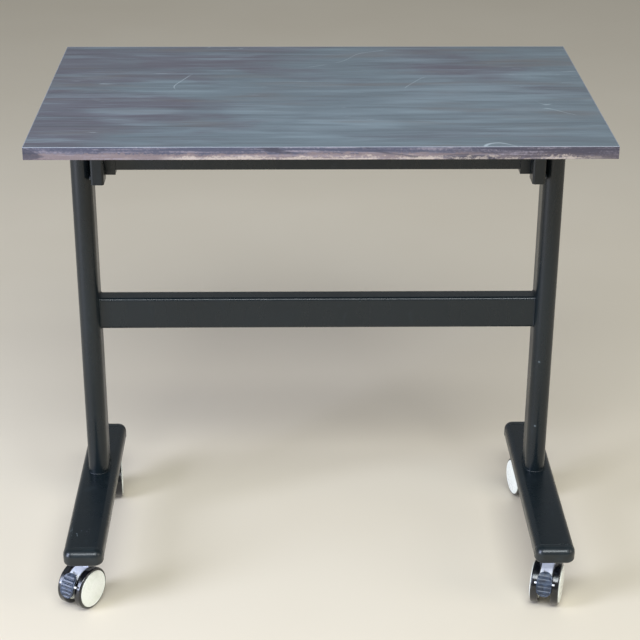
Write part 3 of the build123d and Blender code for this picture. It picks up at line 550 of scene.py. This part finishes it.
def make_pedal(castor):
    """Oval brake pedal with a rim and level ribs, its lug, its pin and the steel bar in it."""
    steps, columns = PEDAL_STEPS, PEDAL_COLUMNS
    reach = (PEDAL_INNER + PEDAL_OUTER) / 2
    length = radians(PEDAL_HIGH - PEDAL_LOW) * reach
    rows = []
    for i in range(steps + 1):
        along = 0.5 - 0.5 * cos(pi * i / steps)
        past = max(0.0, abs(along - 0.5) * length - (length / 2 - PEDAL_HALF))
        half = sqrt(max(PEDAL_HALF**2 - past**2, PEDAL_TIP))
        angle = PEDAL_LOW + (PEDAL_HIGH - PEDAL_LOW) * along
        across = [-cos(pi * j / columns) for j in range(columns + 1)]
        drop = 0.0 if 0 < i < steps else PEDAL_END_DROP
        top = [castor.polar(pedal_top(along, t) - drop, angle, half * t) for t in across]
        bottom = [castor.polar(PEDAL_INNER, angle, half * t) for t in reversed(across)]
        rows.append(top + bottom)
    name = castor.name + "_pedal"
    points, faces = closed_grid(rows)
    shell = new_piece(name + "_ribbed", points, faces, castor.name + "_brake", "pedal")
    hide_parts(name)

    joint = JOINTS[castor.name + "_brake_press"]
    pivot = Vector(joint["pos_m"])
    flank = castor.polar(LUG_RADIUS, LUG_TURN, 0) - castor.centre
    roots = [castor.polar(LUG_ROOT, angle, 0) for angle in (LUG_FROM, LUG_TO)]
    corners = [pivot + flank, pivot - flank, *roots]
    rows = []
    for side in (-1, 1):
        rows.append([corner + castor.axle * (side * LUG_HALF * MM) for corner in corners])
    points, faces = closed_grid(rows)
    lug = new_piece(name + "_lug", points, faces, castor.name + "_brake", "pedal")
    lug.data.polygons.foreach_set("use_smooth", [False] * len(lug.data.polygons))
    body = castor.name + "_brake"
    bar_middle = castor.polar(BAR_REACH, BAR_ANGLE, 0)
    make_rod(name + "_boss", pivot, castor.axle, LUG_RADIUS, LUG_HALF, body, "pedal")
    make_rod(name + "_pin", pivot, castor.axle, PIN_RADIUS, PIN_HALF, body, "stem_steel")
    make_rod(name + "_bar", bar_middle, castor.axle, BAR_RADIUS, BAR_HALF, body, "castor_body")


ROD_EASE = 0.3


def make_rod(name, middle, along, radius, half, body, slot):
    """A round bar with eased ends; radius and half length in millimetres."""
    side = along.orthogonal().normalized()
    other = along.cross(side)
    stations = ((-half, radius - ROD_EASE), (-half + ROD_EASE, radius),
                (half - ROD_EASE, radius), (half, radius - ROD_EASE))
    rows = [ring(middle + along * (w * MM), side, other, r * MM, 24) for w, r in stations]
    points, faces = closed_grid(rows)
    return new_piece(name, points, faces, body, slot)


def make_hoop(name, centre, axle, radius, thick, body, slot):
    """A round-section ring about an axle, in millimetres."""
    side = axle.orthogonal().normalized()
    other = axle.cross(side)
    count = 72
    rows = []
    for i in range(count + 1):
        outward = side * cos(2 * pi * i / count) + other * sin(2 * pi * i / count)
        rows.append(ring(centre + outward * (radius * MM), outward, axle, thick * MM, 10))
    points, faces = closed_grid(rows, ends=False)
    return new_piece(name, points, faces, body, slot)


DISC_FACE, DISC_RIM, DISC_RIM_THICK = 22.1, 28.0, 0.75


def make_wheel_rims(castor):
    """A raised rim round each disc."""
    for hand, sign in (("a", 1), ("b", -1)):
        body = castor.name + "_wheel_" + hand
        outer = castor.centre + castor.axle * (sign * DISC_FACE * MM)
        make_hoop(body + "_rim", outer, castor.axle, DISC_RIM, DISC_RIM_THICK, body, "hub")


def make_bead(name, path, along, body, thick=1.25, rippled=0.18):
    """A painted bead of this thickness in millimetres, round a closed path on a flat face."""
    rows = []
    count = len(path)
    for i in range(count + 1):
        here = path[i % count]
        ahead = (path[(i + 1) % count] - path[(i - 1) % count]).normalized()
        radius = (thick + rippled * sin(i * 2.3)) * MM
        rows.append(ring(here, ahead.cross(along).normalized(), along, radius, 8))
    points, faces = closed_grid(rows, ends=False)
    return new_piece(name, points, faces, body, "frame_paint")


def oval_path(centre, half_width, half_depth, count=240):
    """Points round a flat oval whose long side runs front to back."""
    flat = half_depth - half_width
    path = []
    for i in range(count):
        turn = 2 * pi * i / count
        middle = flat if sin(turn) >= 0 else -flat
        path.append(centre + Vector((half_width * cos(turn), middle + half_width * sin(turn), 0)))
    return path


BASE_BEAD_LIFT = 0.3 * MM
BASE_BEAD_OUT = 0.2 * MM
BAR_BEAD_IN = 0.4 * MM
CROSSBAR_EDGE = 5.0 * MM
FOOT_UNDER_EDGE = 5.0 * MM
FOOT_EDGE = 11.0 * MM
CAP_LIP = 0.45


def make_beads():
    """Weld beads where the columns stand on the feet and the crossbar meets the columns."""
    for side in SIDES:
        low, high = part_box("column_" + side)
        foot_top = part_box("foot_" + side)[1].z
        centre = Vector(((low.x + high.x) / 2, (low.y + high.y) / 2, foot_top + BASE_BEAD_LIFT))
        half_width = (high.x - low.x) / 2 + BASE_BEAD_OUT
        half_depth = (high.y - low.y) / 2 + BASE_BEAD_OUT
        path = oval_path(centre, half_width, half_depth)
        make_bead("base_weld_" + side, path, Vector((0, 0, 1)), "base")
    low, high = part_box("crossbar")
    for side, x in (("left", low.x + BAR_BEAD_IN), ("right", high.x - BAR_BEAD_IN)):
        path = rounded_path(x, low.y, high.y, low.z, high.z, CROSSBAR_EDGE, CROSSBAR_EDGE)
        make_bead("crossbar_weld_" + side, path, Vector((1, 0, 0)), "base")


def make_seams():
    """The fine lip of each cap where it meets the end of its foot."""
    for side in SIDES:
        low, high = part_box("foot_" + side)
        for end, y in (("front", low.y), ("rear", high.y)):
            path = rounded_path(0, low.x, high.x, low.z, high.z, FOOT_UNDER_EDGE, FOOT_EDGE)
            path = [Vector((point.y, y, point.z)) for point in path]
            make_bead("cap_lip_%s_%s" % (end, side), path, Vector((0, 1, 0)), "base", CAP_LIP, 0.0)


def rounded_path(x, y0, y1, z0, z1, under, over, count=12):
    """Points round a rectangle that faces left and right, rounded by under and over."""
    path = []
    corners = ((y1 - over, z1 - over, over, 0), (y0 + over, z1 - over, over, 90),
               (y0 + under, z0 + under, under, 180), (y1 - under, z0 + under, under, 270))
    for y, z, radius, start in corners:
        for i in range(count):
            turn = radians(start + 90 * i / (count - 1))
            path.append(Vector((x, y + radius * cos(turn), z + radius * sin(turn))))
    return path


EDGE_EASE = 0.35 * MM
EASE_OVER = 40       # degrees between two faces whose edge is eased
EASE_OVER_MOULDED = 62
WELD_WITHIN = 0.002 * MM


def dress_nodes():
    """Gives every CAD node its slot's finish and slightly eased edges."""
    slots = {part["node"]: part["material_slot"] for part in frame["record"]["subparts"]}
    for name, piece in frame["nodes"].items():
        finish = FINISHES[slots[name]]
        piece.data.materials.clear()
        piece.data.materials.append(finish)
        curved = any(word in name for word in ("cap", "tyre", "hub"))
        ease_edges(piece, EDGE_EASE, EASE_OVER_MOULDED if curved else EASE_OVER)


def ease_edges(piece, width, sharper_than):
    """Closes the seams between faces and rounds every edge sharper than this many degrees."""
    weld = piece.modifiers.new("weld", "WELD")
    weld.merge_threshold = WELD_WITHIN
    bevel = piece.modifiers.new("ease", "BEVEL")
    bevel.limit_method = "ANGLE"
    bevel.angle_limit = radians(sharper_than)
    bevel.width = width
    bevel.segments = 2
    bevel.use_clamp_overlap = True
    weighted = piece.modifiers.new("shade", "WEIGHTED_NORMAL")
    weighted.keep_sharp = False


make_camera()
make_lights()
make_floor()
dress_nodes()
make_beads()
make_seams()
for castor_name in CASTORS:
    castor_frame = CastorFrame(castor_name)
    make_pedal(castor_frame)
    make_wheel_rims(castor_frame)
